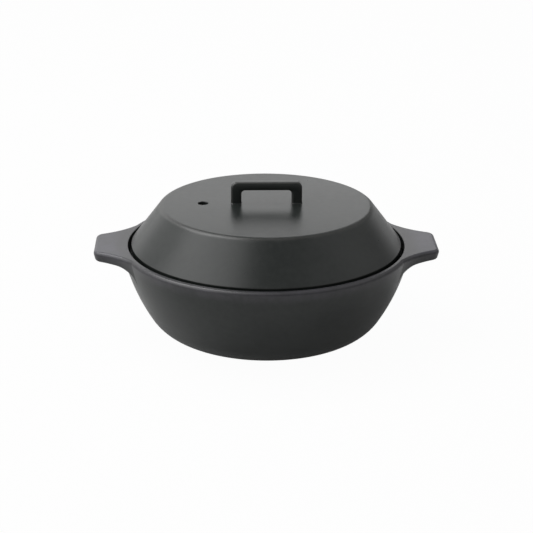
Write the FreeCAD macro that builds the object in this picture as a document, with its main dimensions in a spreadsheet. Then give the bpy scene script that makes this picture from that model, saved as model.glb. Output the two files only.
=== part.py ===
import FreeCAD, Part
import enum
import math
import os
import Sketcher
from FreeCAD import Placement, Rotation, Vector

# Lidded clay cooking pot, sizes in millimetres and degrees.
# Z is up and zero is the table under the foot ring.
# X runs through the two ears, the front is towards -Y.
# The steam vent of the lid is on the -X side.

SIZES = {
    # Pot: rim, wall and foot
    "rim_radius": 133.9,
    "rim_height": 87.2,
    "rim_width": 6.4,
    "rim_round": 3.0,
    "rim_inner_round": 0.9,
    "rim_lean": 14.0,
    "rim_band": 13.0,
    "wall_radius": 180.0,
    "belly_height": 22.0,
    "foot_inset": 57.7,
    "foot_height": 3.4,
    "foot_width": 9.0,
    "foot_bevel": 1.0,
    "foot_recess": 1.5,
    "floor_thickness": 7.0,
    # Gallery that carries the lid
    "seat_depth": 9.5,
    "seat_draft": 6.0,
    "seat_width": 9.5,
    "seat_round": 1.2,
    "seat_wall": 6.5,
    # Ears
    "ear_projection": 25.0,
    "ear_tip_width": 53.0,
    "ear_corner": 10.0,
    "ear_flare": 70.0,
    "ear_bite": 0.9,
    "ear_thickness": 10.5,
    "ear_slope": 3.0,
    "ear_cove": 14.0,
    "ear_cove_bite": 1.2,
    "ear_round": 3.0,
    "ear_under_round": 2.5,
    # Lid
    "lid_gap": 3.1,
    "lid_rise": 38.5,
    "lid_crown": 1.6,
    "lid_edge_rise": 0.9,
    "lid_slope": 52.86,
    "lid_thickness": 6.5,
    "lid_crease": 7.0,
    "lid_under_crease": 5.0,
    "lid_edge_round": 1.3,
    "lid_edge_width": 8.5,
    "lid_foot_round": 1.0,
    "vent_offset": 58.0,
    "vent_diameter": 9.5,
    "vent_round": 0.8,
    # Bridge handle of the lid
    "handle_length": 65.1,
    "handle_height": 20.0,
    "handle_depth": 9.2,
    "handle_leg": 9.6,
    "handle_bar": 7.6,
    "handle_corner": 5.0,
    "handle_inner_corner": 3.4,
    "handle_round": 2.2,
    "handle_foot_cove": 1.2,
}

os.makedirs("parts", exist_ok=True)
doc = FreeCAD.newDocument("donabe")
sheet = doc.addObject("Spreadsheet::Sheet", "Sizes")
for row, (alias, number) in enumerate(SIZES.items(), start=1):
    sheet.set("A%d" % row, alias)
    sheet.set("B%d" % row, str(number))
    sheet.setAlias("B%d" % row, alias)
doc.recompute()


class Size:
    """A number together with the sheet expression that drives it."""

    def __init__(self, number, text):
        self.number = number
        self.text = text

    def __float__(self):
        return self.number

    def join(self, other, sign, number):
        """Return the result of one sum, difference, product or quotient."""
        text = other.text if isinstance(other, Size) else repr(other)
        return Size(number, "(%s %s %s)" % (self.text, sign, text))

    def __add__(self, other):
        return self.join(other, "+", self.number + float(other))

    def __sub__(self, other):
        return self.join(other, "-", self.number - float(other))

    def __mul__(self, other):
        return self.join(other, "*", self.number * float(other))

    def __truediv__(self, other):
        return self.join(other, "/", self.number / float(other))

    def __neg__(self):
        return Size(-self.number, "(-%s)" % self.text)


def size(alias):
    """Return a driving size of the sheet."""
    return Size(float(sheet.get(alias)), "Sizes." + alias)


def tangent(angle):
    """Return the tangent of a size in degrees."""
    return Size(math.tan(math.radians(float(angle))), "tan(%s * 1 deg)" % angle.text)


def cosine(angle):
    """Return the cosine of a size in degrees."""
    return Size(math.cos(math.radians(float(angle))), "cos(%s * 1 deg)" % angle.text)


def polar(centre, radius, degrees):
    """Return the point at an angle on a circle of the sketch plane."""
    turn = math.radians(float(degrees))
    run = float(radius) * math.cos(turn)
    rise = float(radius) * math.sin(turn)
    return (float(centre[0]) + run, float(centre[1]) + rise)


def inside_corner(corner, rounding, first, last):
    """Return the centre of the arc that rounds a corner between two faces, given where they face."""
    faces = [flat(polar((0, 0), 1, degrees)) for degrees in (first, last)]
    inset = float(rounding) / (1 + faces[0].dot(faces[1]))
    return flat(corner) - (faces[0] + faces[1]) * inset


class Spot(enum.IntEnum):
    """The points of a sketch element that a constraint can name."""

    START = 1
    END = 2
    CENTRE = 3


class Axis(enum.IntEnum):
    """The two axes that every sketch has."""

    ACROSS = -1
    UP = -2


START, END, CENTRE = Spot
ACROSS_AXIS, UP_AXIS = Axis
ORIGIN = (ACROSS_AXIS, START)


def new_body(name):
    """Start a body."""
    body = doc.addObject("PartDesign::Body", name)
    body.Label = name
    return body


def new_sketch(body, name, role, height=None):
    """Start a sketch on an origin plane of a body, raised where a height is given."""
    planes = [item for item in body.Origin.OriginFeatures if item.Role == role]
    sketch = body.newObject("Sketcher::SketchObject", name)
    sketch.AttachmentSupport = (planes[0], [""])
    sketch.MapMode = "FlatFace"
    if height is not None:
        sketch.AttachmentOffset = Placement(Vector(0, 0, float(height)), Rotation())
        sketch.setExpression("AttachmentOffset.Base.z", height.text)
    return sketch


def flat(point):
    """Return a sketch point as a vector."""
    return Vector(float(point[0]), float(point[1]), 0)


def draw_line(sketch, start, end):
    """Add a line and return its number."""
    return sketch.addGeometry(Part.LineSegment(flat(start), flat(end)), False)


def draw_arc(sketch, centre, radius, first, last):
    """Add an arc that runs anticlockwise between two angles in degrees."""
    circle = Part.Circle(flat(centre), Vector(0, 0, 1), float(radius))
    arc = Part.ArcOfCircle(circle, math.radians(float(first)), math.radians(float(last)))
    return sketch.addGeometry(arc, False)


def rule(sketch, kind, *terms):
    """Add a constraint without a size."""
    sketch.addConstraint(Sketcher.Constraint(kind, *terms))


def close_at(sketch, *corners):
    """Join the ends of neighbouring lines and arcs, each given as two ends."""
    for kind, first, first_end, second, second_end in corners:
        rule(sketch, kind, first, first_end, second, second_end)


def bind(sketch, kind, name, terms, value, text):
    """Add a named constraint and bind it to an expression."""
    number = sketch.addConstraint(Sketcher.Constraint(kind, *terms, value))
    sketch.renameConstraint(number, name)
    sketch.setExpression("Constraints." + name, text)


def across(sketch, name, element, end, value):
    """Dimension a point from the sketch's upright axis."""
    bind(sketch, "DistanceX", name, (*ORIGIN, element, end), float(value), value.text)


def up(sketch, name, element, end, value):
    """Dimension a point from the sketch's level axis."""
    bind(sketch, "DistanceY", name, (*ORIGIN, element, end), float(value), value.text)


def radius(sketch, name, element, value):
    """Dimension the radius of an arc."""
    bind(sketch, "Radius", name, (element,), float(value), value.text)


def angle(sketch, name, element, value):
    """Dimension the direction of a line in degrees."""
    turn = math.radians(float(value))
    bind(sketch, "Angle", name, (element,), turn, "%s * 1 deg" % value.text)


def turn_about_z(body, kind, name, sketch):
    """Revolve or groove a profile once round the Z axis."""
    feature = body.newObject(kind, name)
    feature.Profile = sketch
    feature.ReferenceAxis = (sketch, ["V_Axis"])
    feature.Angle = 360
    doc.recompute()
    return feature


def soften(body, name, base, edges, value):
    """Round a list of edges of a body's feature."""
    feature = body.newObject("PartDesign::Fillet", name)
    feature.Base = (base, edges)
    feature.Radius = float(value)
    feature.setExpression("Radius", value.text)
    doc.recompute()
    return feature


def edges_where(shape, test):
    """Name the edges whose sampled points all pass a test."""
    names = []
    for number, edge in enumerate(shape.Edges, start=1):
        first, last = edge.ParameterRange
        points = [edge.valueAt(first + (last - first) * step / 4) for step in range(5)]
        if all(test(point) for point in points):
            names.append("Edge%d" % number)
    return names


# Pot form: the outer shape of the pot, turned as one full solid.
# From the rim down it is a leaning band, a long wall arc and a belly arc to the foot.
rim_radius = size("rim_radius")
rim_height = size("rim_height")
rim_lean = size("rim_lean")
rim_round = size("rim_round")
wall_radius = size("wall_radius")
foot_radius = rim_radius - size("foot_inset")
foot_inner = foot_radius - size("foot_width")
foot_bevel = size("foot_bevel")
foot_recess = size("foot_recess")
foot_top = (foot_radius, size("foot_height"))
band_end = (
    rim_radius - size("rim_band") * tangent(rim_lean),
    rim_height - size("rim_band"),
)
wall_centre = polar(band_end, wall_radius, 180 - float(rim_lean))
belly_drop = wall_centre[1] - float(size("belly_height"))
belly_turn = -math.degrees(math.asin(belly_drop / float(wall_radius)))
belly_start = polar(wall_centre, wall_radius, belly_turn)
chord = flat(belly_start) - flat(foot_top)
outward = flat(polar((0, 0), 1, belly_turn))
belly_radius = chord.dot(chord) / (2 * chord.dot(outward))
belly_centre = polar(belly_start, -belly_radius, belly_turn)
foot_reach = flat(foot_top) - flat(belly_centre)
foot_turn = math.degrees(math.atan2(foot_reach.y, foot_reach.x))
rim_run = float(rim_round) / math.tan(math.radians(45 - float(rim_lean) / 2))
rim_centre = (float(rim_radius) - rim_run, rim_height - rim_round)

pot_form = new_body("pot_form")
outline = new_sketch(pot_form, "pot_outline", "XZ_Plane")
recess_line = draw_line(outline, (0, foot_recess), (foot_inner - foot_bevel, foot_recess))
inner_bevel = draw_line(outline, (foot_inner - foot_bevel, foot_recess), (foot_inner, 0))
foot_line = draw_line(outline, (foot_inner, 0), (foot_radius - foot_bevel, 0))
outer_bevel = draw_line(outline, (foot_radius - foot_bevel, 0), foot_top)
belly_arc = draw_arc(outline, belly_centre, belly_radius, foot_turn, belly_turn)
wall_arc = draw_arc(outline, wall_centre, wall_radius, belly_turn, -rim_lean)
band_line = draw_line(outline, band_end, polar(rim_centre, rim_round, -rim_lean))
rim_arc = draw_arc(outline, rim_centre, rim_round, -rim_lean, 90)
top_line = draw_line(outline, (rim_centre[0], rim_height), (0, rim_height))
axis_line = draw_line(outline, (0, rim_height), (0, foot_recess))
close_at(
    outline,
    ("Coincident", recess_line, END, inner_bevel, START),
    ("Coincident", inner_bevel, END, foot_line, START),
    ("Coincident", foot_line, END, outer_bevel, START),
    ("Coincident", outer_bevel, END, belly_arc, START),
    ("Tangent", belly_arc, END, wall_arc, START),
    ("Tangent", wall_arc, END, band_line, START),
    ("Tangent", band_line, END, rim_arc, START),
    ("Tangent", rim_arc, END, top_line, START),
    ("Coincident", top_line, END, axis_line, START),
    ("Coincident", axis_line, END, recess_line, START),
)
rule(outline, "Horizontal", recess_line)
rule(outline, "Horizontal", foot_line)
rule(outline, "Horizontal", top_line)
rule(outline, "PointOnObject", foot_line, START, ACROSS_AXIS)
rule(outline, "PointOnObject", axis_line, START, UP_AXIS)
rule(outline, "PointOnObject", axis_line, END, UP_AXIS)
up(outline, "recess", recess_line, START, foot_recess)
across(outline, "recess_edge", recess_line, END, foot_inner - foot_bevel)
across(outline, "foot_inner", foot_line, START, foot_inner)
across(outline, "foot_outer", foot_line, END, foot_radius - foot_bevel)
across(outline, "foot_side", belly_arc, START, foot_top[0])
up(outline, "foot_top", belly_arc, START, foot_top[1])
up(outline, "belly_height", wall_arc, START, size("belly_height"))
radius(outline, "wall_radius", wall_arc, wall_radius)
across(outline, "band_foot", band_line, START, band_end[0])
up(outline, "band_height", band_line, START, band_end[1])
angle(outline, "rim_lean", band_line, -(rim_lean - 90))
radius(outline, "rim_round", rim_arc, rim_round)
up(outline, "rim_height", top_line, END, rim_height)
turn_about_z(pot_form, "PartDesign::Revolution", "pot_turned", outline)

# Pot body: the form hollowed to a round bowl, with a gallery that the lid rests in
rim_inner = rim_radius - size("rim_width")
seat_radius = rim_inner - size("seat_width")
seat_height = rim_height - size("seat_depth")
seat_round = size("seat_round")
seat_draft = size("seat_draft")
gallery_foot = rim_inner - size("seat_depth") * tangent(seat_draft)
lip_round = size("rim_inner_round")
lip_edge = rim_inner + lip_round * tangent(-(seat_draft / 2 - 45))
lip_centre = (lip_edge, rim_height - lip_round)
lip_turn = 180 - float(seat_draft)
floor_height = foot_recess + size("floor_thickness")
bowl_top = seat_height - size("seat_wall")
bowl_radius = bowl_top - floor_height
bowl_centre = (seat_radius - bowl_radius, bowl_top)
mouth_height = rim_height + rim_round

pot_body = new_body("pot_body")
pot_body.BaseFeature = pot_form
doc.recompute()
hollow = new_sketch(pot_body, "pot_hollow", "XZ_Plane")
floor_line = draw_line(hollow, (0, floor_height), (bowl_centre[0], floor_height))
bowl_arc = draw_arc(hollow, bowl_centre, bowl_radius, -90, 0)
inner_line = draw_line(hollow, (seat_radius, bowl_top), (seat_radius, seat_height - seat_round))
seat_centre = (seat_radius + seat_round, seat_height - seat_round)
seat_arc = draw_arc(hollow, seat_centre, seat_round, 90, 180)
seat_line = draw_line(hollow, (seat_centre[0], seat_height), (gallery_foot, seat_height))
gallery_top = polar(lip_centre, lip_round, lip_turn)
gallery_line = draw_line(hollow, (gallery_foot, seat_height), gallery_top)
lip_arc = draw_arc(hollow, lip_centre, lip_round, 90, lip_turn)
mouth_side = draw_line(hollow, (lip_edge, rim_height), (lip_edge, mouth_height))
mouth_line = draw_line(hollow, (lip_edge, mouth_height), (0, mouth_height))
hollow_axis = draw_line(hollow, (0, mouth_height), (0, floor_height))
close_at(
    hollow,
    ("Tangent", floor_line, END, bowl_arc, START),
    ("Tangent", bowl_arc, END, inner_line, START),
    ("Tangent", inner_line, END, seat_arc, END),
    ("Tangent", seat_arc, START, seat_line, START),
    ("Coincident", seat_line, END, gallery_line, START),
    ("Tangent", gallery_line, END, lip_arc, END),
    ("Coincident", lip_arc, START, mouth_side, START),
    ("Coincident", mouth_side, END, mouth_line, START),
    ("Coincident", mouth_line, END, hollow_axis, START),
    ("Coincident", hollow_axis, END, floor_line, START),
)
rule(hollow, "Horizontal", floor_line)
rule(hollow, "Vertical", inner_line)
rule(hollow, "Horizontal", seat_line)
rule(hollow, "Vertical", mouth_side)
rule(hollow, "Horizontal", mouth_line)
rule(hollow, "PointOnObject", hollow_axis, START, UP_AXIS)
rule(hollow, "PointOnObject", hollow_axis, END, UP_AXIS)
up(hollow, "floor_height", floor_line, END, floor_height)
up(hollow, "bowl_top", bowl_arc, END, bowl_top)
across(hollow, "seat_radius", inner_line, START, seat_radius)
radius(hollow, "seat_round", seat_arc, seat_round)
up(hollow, "seat_height", seat_line, END, seat_height)
across(hollow, "gallery_foot", gallery_line, START, gallery_foot)
angle(hollow, "seat_draft", gallery_line, -(seat_draft - 90))
radius(hollow, "lip_round", lip_arc, lip_round)
up(hollow, "lip_height", lip_arc, START, rim_height)
across(hollow, "lip_edge", lip_arc, START, lip_edge)
up(hollow, "mouth_height", mouth_line, END, mouth_height)
turn_about_z(pot_body, "PartDesign::Groove", "pot_hollowed", hollow)

# Ear plan: a straight end, rounded corners and sides that flare into the rim circle.
# The root reaches into the wall, so that the pot form trims it to the wall's own shape.
ear_reach = rim_radius + size("ear_projection")
ear_corner = size("ear_corner")
ear_flare = size("ear_flare")
half_tip = size("ear_tip_width") / 2
root_end = rim_radius - size("ear_bite")
flare_throw = root_end + ear_flare
tip_throw = math.hypot(float(ear_reach), float(half_tip))
spread = (float(flare_throw) ** 2 + tip_throw ** 2 - float(ear_flare) ** 2)
spread = math.degrees(math.acos(spread / (2 * float(flare_throw) * tip_throw)))
flare_turn = spread + math.degrees(math.atan2(float(half_tip), float(ear_reach)))
flare_centre = polar((0, 0), flare_throw, flare_turn)
corner_x = float(ear_reach - ear_corner)
corner_rise = math.sqrt(float(ear_flare + ear_corner) ** 2 - (flare_centre[0] - corner_x) ** 2)
corner_centre = (corner_x, flare_centre[1] - corner_rise)
meet_turn = math.degrees(math.atan2(corner_rise, flare_centre[0] - corner_x))
front_flare_centre = (flare_centre[0], -flare_centre[1])
front_corner_centre = (corner_x, -corner_centre[1])

ear_blank = new_body("ear_blank")
plan = new_sketch(ear_blank, "ear_plan", "XY_Plane", rim_height)
end_line = draw_line(plan, (ear_reach, -corner_centre[1]), (ear_reach, corner_centre[1]))
corner_arc = draw_arc(plan, corner_centre, ear_corner, 0, meet_turn)
flare_arc = draw_arc(plan, flare_centre, ear_flare, 180 + flare_turn, 180 + meet_turn)
root_line = draw_line(
    plan, polar((0, 0), root_end, flare_turn), polar((0, 0), seat_radius, flare_turn)
)
root_arc = draw_arc(plan, (0, 0), seat_radius, -flare_turn, flare_turn)
front_root = draw_line(
    plan, polar((0, 0), seat_radius, -flare_turn), polar((0, 0), root_end, -flare_turn)
)
front_flare = draw_arc(plan, front_flare_centre, ear_flare, 180 - meet_turn, 180 - flare_turn)
front_corner = draw_arc(plan, front_corner_centre, ear_corner, -meet_turn, 0)
tip_point = plan.addGeometry(Part.Point(flat((ear_reach, half_tip))), True)
close_at(
    plan,
    ("Tangent", end_line, END, corner_arc, START),
    ("Tangent", corner_arc, END, flare_arc, END),
    ("Coincident", flare_arc, START, root_line, START),
    ("Coincident", root_line, END, root_arc, END),
    ("Coincident", root_arc, START, front_root, START),
    ("Coincident", front_root, END, front_flare, END),
    ("Tangent", front_flare, START, front_corner, START),
    ("Tangent", front_corner, END, end_line, START),
)
rule(plan, "Coincident", root_arc, CENTRE, *ORIGIN)
rule(plan, "Perpendicular", root_line, flare_arc)
rule(plan, "Perpendicular", root_line, root_arc)
rule(plan, "Perpendicular", front_root, root_arc)
rule(plan, "Symmetric", flare_arc, CENTRE, front_flare, CENTRE, ACROSS_AXIS)
rule(plan, "Symmetric", root_line, START, front_root, END, ACROSS_AXIS)
rule(plan, "Equal", corner_arc, front_corner)
rule(plan, "Vertical", end_line)
rule(plan, "PointOnObject", tip_point, START, flare_arc)
across(plan, "ear_reach", end_line, END, ear_reach)
across(plan, "tip_reach", tip_point, START, ear_reach)
up(plan, "half_tip", tip_point, START, half_tip)
radius(plan, "ear_corner", corner_arc, ear_corner)
radius(plan, "ear_flare", flare_arc, ear_flare)
radius(plan, "root_inside", root_arc, seat_radius)
throw_ends = (*ORIGIN, flare_arc, CENTRE)
bind(plan, "Distance", "flare_throw", throw_ends, float(flare_throw), flare_throw.text)

# Ear slab: drawn down from the rim with the draft of the wall's band
ear_thickness = size("ear_thickness")
ear_cove = size("ear_cove")
slab_depth = ear_thickness + ear_cove * 0.6
slab = ear_blank.newObject("PartDesign::Pad", "ear_slab")
slab.Profile = plan
slab.Reversed = True
slab.Length = float(slab_depth)
slab.setExpression("Length", slab_depth.text)
slab.TaperAngle = -float(rim_lean)
slab.setExpression("TaperAngle", "-%s * 1 deg" % rim_lean.text)
doc.recompute()

# Ear underside: it rises slightly to the tip and sweeps down into the wall in a cove
ear_slope = size("ear_slope")
cove_drop = ear_thickness + ear_cove * cosine(ear_slope)
cove_height = rim_height - cove_drop
cove_inside = rim_radius - size("ear_cove_bite") - cove_drop * tangent(rim_lean)
cove_centre = (cove_inside + ear_cove, cove_height)
cove_top = polar(cove_centre, ear_cove, 90 + float(ear_slope))
clear_reach = ear_reach + ear_cove
clear_rise = (float(clear_reach) - cove_top[0]) * math.tan(math.radians(float(ear_slope)))
clear_point = (clear_reach, cove_top[1] + clear_rise)
low_step = size("rim_band")
low_point = (cove_inside - low_step, cove_height - low_step)

under = new_sketch(ear_blank, "ear_underside", "YZ_Plane")
back_line = draw_line(under, low_point, (cove_inside, cove_height))
cove_arc = draw_arc(under, cove_centre, ear_cove, 90 + float(ear_slope), 180)
under_line = draw_line(under, cove_top, clear_point)
out_line = draw_line(under, clear_point, (clear_reach, low_point[1]))
base_line = draw_line(under, (clear_reach, low_point[1]), low_point)
close_at(
    under,
    ("Coincident", back_line, END, cove_arc, END),
    ("Tangent", cove_arc, START, under_line, START),
    ("Coincident", under_line, END, out_line, START),
    ("Coincident", out_line, END, base_line, START),
    ("Coincident", base_line, END, back_line, START),
)
rule(under, "Vertical", out_line)
rule(under, "Horizontal", base_line)
rule(under, "Horizontal", cove_arc, CENTRE, cove_arc, END)
radius(under, "ear_cove", cove_arc, ear_cove)
angle(under, "ear_slope", under_line, ear_slope)
up(under, "cove_height", cove_arc, CENTRE, cove_height)
across(under, "cove_inside", cove_arc, END, cove_inside)
across(under, "clear_reach", out_line, START, clear_reach)
across(under, "low_across", back_line, START, low_point[0])
up(under, "low_up", back_line, START, low_point[1])
relief = turn_about_z(ear_blank, "PartDesign::Groove", "ear_relief", under)


def on_ear_side(point):
    """Tell whether a point lies on the drafted outer side of the ear."""
    inset = (float(rim_height) - point.z) * math.tan(math.radians(float(rim_lean)))
    plan_point = (point.x, abs(point.y))
    off_end = point.x - float(ear_reach) + inset
    off_corner = math.dist(plan_point, corner_centre) - float(ear_corner) + inset
    off_flare = math.dist(plan_point, flare_centre) - float(ear_flare) - inset
    return min(abs(off_end), abs(off_corner), abs(off_flare)) < 0.01


def on_ear_top(point):
    """Tell whether a point lies on the upper edge of the ear's side."""
    return abs(point.z - float(rim_height)) < 0.01 and on_ear_side(point)


def on_ear_underside(point):
    """Tell whether a point lies on the lower edge of the ear's side."""
    reach = math.hypot(point.x, point.y) - cove_top[0]
    level = cove_top[1] + reach * math.tan(math.radians(float(ear_slope)))
    return reach > -0.01 and abs(point.z - level) < 0.01 and on_ear_side(point)


ear_top_edges = edges_where(relief.Shape, on_ear_top)
ear_top = soften(ear_blank, "ear_top", relief, ear_top_edges, size("ear_round"))
ear_low_edges = edges_where(ear_top.Shape, on_ear_underside)
soften(ear_blank, "ear_low", ear_top, ear_low_edges, size("ear_under_round"))

# Ears: the blank trimmed by the pot form, and its mirror image
right_ear = doc.addObject("Part::Cut", "right_ear")
right_ear.Base = ear_blank
right_ear.Tool = pot_form
left_ear = doc.addObject("Part::Mirroring", "left_ear")
left_ear.Source = right_ear
left_ear.Normal = Vector(1, 0, 0)
left_ear.Base = Vector(0, 0, 0)
doc.recompute()

# Lid form: a slightly crowned top, a conical side and a drafted ring that rests in the gallery
lid_slope = size("lid_slope")
lid_crown = size("lid_crown")
lid_top = rim_height + size("lid_rise")
lid_radius = rim_inner - size("lid_gap")
edge_rise = size("lid_edge_rise")
edge_corner = (lid_radius, rim_height + edge_rise)
lid_run = (size("lid_rise") - lid_crown - edge_rise) / tangent(lid_slope)
top_radius = lid_radius - lid_run
crown_radius = (top_radius * top_radius + lid_crown * lid_crown) / (lid_crown * 2)
crown_centre = (0, lid_top - crown_radius)
lid_thickness = size("lid_thickness")
lid_crease = size("lid_crease")
under_crease = size("lid_under_crease")
edge_round = size("lid_edge_round")
ring_round = size("lid_foot_round")
ring_inner = lid_radius - size("lid_edge_width")
ring_outer = lid_radius - (edge_rise + size("seat_depth")) * tangent(seat_draft)
ceiling = lid_top - lid_thickness
ceiling_radius = crown_radius - lid_thickness
steep = 90 - float(lid_slope)
skirt = -float(seat_draft)
cone_throw = flat(polar((0, 0), 1, steep)).dot(flat(edge_corner) - flat(crown_centre))


def between_crown_and_cone(inset, rounding):
    """Return the centre of the arc from crown to cone, both moved in, and where it meets the crown."""
    sunk = float(inset) + float(rounding)
    reach = float(crown_radius) - sunk
    turn = 90 + steep - math.degrees(math.asin((cone_throw - sunk) / reach))
    return polar(crown_centre, reach, turn), turn


crease_centre, crease_turn = between_crown_and_cone(0, lid_crease)
under_centre, under_turn = between_crown_and_cone(lid_thickness, under_crease)
edge_centre = inside_corner(edge_corner, edge_round, steep, skirt)
ring_centre = inside_corner((ring_outer, seat_height), ring_round, skirt, -90)
under_end = polar(under_centre, under_crease, steep)
inner_drop = (float(ring_inner) - under_end[0]) * math.tan(math.radians(float(lid_slope)))
inner_corner = (ring_inner, under_end[1] - inner_drop)

lid_form = new_body("lid_form")
section = new_sketch(lid_form, "lid_section", "XZ_Plane")
crown_arc = draw_arc(section, crown_centre, crown_radius, crease_turn, 90)
crease_arc = draw_arc(section, crease_centre, lid_crease, steep, crease_turn)
cone_line = draw_line(
    section, polar(crease_centre, lid_crease, steep), polar(edge_centre, edge_round, steep)
)
edge_arc = draw_arc(section, edge_centre, edge_round, skirt, steep)
edge_line = draw_line(
    section, polar(edge_centre, edge_round, skirt), polar(ring_centre, ring_round, skirt)
)
ring_arc = draw_arc(section, ring_centre, ring_round, -90, skirt)
ring_line = draw_line(section, (ring_centre[0], seat_height), (ring_inner, seat_height))
ring_side = draw_line(section, (ring_inner, seat_height), inner_corner)
inner_cone = draw_line(section, inner_corner, under_end)
under_arc = draw_arc(section, under_centre, under_crease, steep, under_turn)
ceiling_arc = draw_arc(section, crown_centre, ceiling_radius, under_turn, 90)
lid_axis = draw_line(section, (0, ceiling), (0, lid_top))
edge_point = section.addGeometry(Part.Point(flat(edge_corner)), True)
close_at(
    section,
    ("Tangent", crown_arc, START, crease_arc, END),
    ("Tangent", crease_arc, START, cone_line, START),
    ("Tangent", cone_line, END, edge_arc, END),
    ("Tangent", edge_arc, START, edge_line, START),
    ("Tangent", edge_line, END, ring_arc, END),
    ("Tangent", ring_arc, START, ring_line, START),
    ("Coincident", ring_line, END, ring_side, START),
    ("Coincident", ring_side, END, inner_cone, START),
    ("Tangent", inner_cone, END, under_arc, START),
    ("Tangent", under_arc, END, ceiling_arc, START),
    ("Coincident", ceiling_arc, END, lid_axis, START),
    ("Coincident", lid_axis, END, crown_arc, END),
)
rule(section, "Horizontal", ring_line)
rule(section, "Vertical", ring_side)
rule(section, "Parallel", cone_line, inner_cone)
rule(section, "Coincident", ceiling_arc, CENTRE, crown_arc, CENTRE)
rule(section, "PointOnObject", crown_arc, CENTRE, UP_AXIS)
rule(section, "PointOnObject", lid_axis, START, UP_AXIS)
rule(section, "PointOnObject", lid_axis, END, UP_AXIS)
rule(section, "PointOnObject", edge_point, START, cone_line)
rule(section, "PointOnObject", edge_point, START, edge_line)
up(section, "lid_top", lid_axis, END, lid_top)
up(section, "ceiling", lid_axis, START, ceiling)
radius(section, "crown_radius", crown_arc, crown_radius)
across(section, "lid_radius", edge_point, START, lid_radius)
up(section, "edge_height", edge_point, START, edge_corner[1])
angle(section, "lid_slope", cone_line, -lid_slope)
angle(section, "seat_draft", edge_line, -(seat_draft + 90))
up(section, "ring_height", ring_line, END, seat_height)
across(section, "ring_inner", ring_side, START, ring_inner)
wall_ends = (inner_cone, END, cone_line)
bind(section, "Distance", "lid_wall", wall_ends, float(lid_thickness), lid_thickness.text)
radius(section, "lid_crease", crease_arc, lid_crease)
radius(section, "under_crease", under_arc, under_crease)
radius(section, "edge_round", edge_arc, edge_round)
radius(section, "ring_round", ring_arc, ring_round)
turn_about_z(lid_form, "PartDesign::Revolution", "lid_turned", section)

# Lid shell: the form with a round steam vent through its top, the edges softened
vent_offset = size("vent_offset")
vent_diameter = size("vent_diameter")
lid_shell = new_body("lid_shell")
lid_shell.BaseFeature = lid_form
doc.recompute()
vent_plan = new_sketch(lid_shell, "vent_plan", "XY_Plane", lid_top)
vent_shape = Part.Circle(flat((-vent_offset, 0)), Vector(0, 0, 1), float(vent_diameter) / 2)
vent_circle = vent_plan.addGeometry(vent_shape, False)
rule(vent_plan, "PointOnObject", vent_circle, CENTRE, ACROSS_AXIS)
offset_ends = (vent_circle, CENTRE, *ORIGIN)
bind(vent_plan, "DistanceX", "vent_offset", offset_ends, float(vent_offset), vent_offset.text)
bind(vent_plan, "Diameter", "vent_bore", (vent_circle,), float(vent_diameter), vent_diameter.text)
vent = lid_shell.newObject("PartDesign::Pocket", "vent")
vent.Profile = vent_plan
vent.Type = "ThroughAll"
doc.recompute()


def on_vent_edge(point):
    """Tell whether a point lies on the upper or lower edge of the steam vent."""
    off_bore = math.hypot(point.x + float(vent_offset), point.y) - float(vent_diameter) / 2
    throw = math.hypot(point.x, point.y, point.z - float(crown_centre[1]))
    off_face = min(abs(throw - float(crown_radius)), abs(throw - float(ceiling_radius)))
    return abs(off_bore) < 0.01 and off_face < 0.01


soften(lid_shell, "vent_edge", vent, edges_where(vent.Shape, on_vent_edge), size("vent_round"))

# Lid handle: a bridge on two legs, drawn from the front
half_length = size("handle_length") / 2
half_gap = half_length - size("handle_leg")
half_depth = size("handle_depth") / 2
corner = size("handle_corner")
arch = size("handle_inner_corner")
handle_top = lid_top + size("handle_height")
bar_under = handle_top - size("handle_bar")
corner_up = handle_top - corner
arch_up = bar_under - arch
foot_margin = size("handle_foot_cove") * 4
plate_half_length = half_length + foot_margin
plate_half_depth = half_depth + foot_margin
plate_corner_squared = plate_half_length * plate_half_length + plate_half_depth * plate_half_depth
crown_fall = plate_corner_squared / (crown_radius * 2)
foot_level = lid_top - crown_fall - size("handle_foot_cove") / 8


def draw_rectangle(sketch, reach_x, reach_y):
    """Draw a rectangle about the origin from its half sizes."""
    corners = ((-1, -1), (1, -1), (1, 1), (-1, 1))
    points = [(float(reach_x) * x, float(reach_y) * y) for x, y in corners]
    lines = [draw_line(sketch, points[k], points[(k + 1) % 4]) for k in range(4)]
    for k in range(4):
        rule(sketch, "Coincident", lines[k], END, lines[(k + 1) % 4], START)
        rule(sketch, "Horizontal" if k % 2 == 0 else "Vertical", lines[k])
    rule(sketch, "Symmetric", lines[0], START, lines[1], END, *ORIGIN)
    across(sketch, "reach_x", lines[1], END, reach_x)
    up(sketch, "reach_y", lines[1], END, reach_y)


# A plate carries the coves of the feet. It lies under the crowned top out to its corners,
# so the lid form trims it away.
handle_blank = new_body("handle_blank")
plate_plan = new_sketch(handle_blank, "plate_plan", "XY_Plane", foot_level)
draw_rectangle(plate_plan, plate_half_length, plate_half_depth)
plate = handle_blank.newObject("PartDesign::Pad", "plate")
plate.Profile = plate_plan
plate.Reversed = True
plate.Length = float(foot_margin)
plate.setExpression("Length", foot_margin.text)
doc.recompute()

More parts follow.
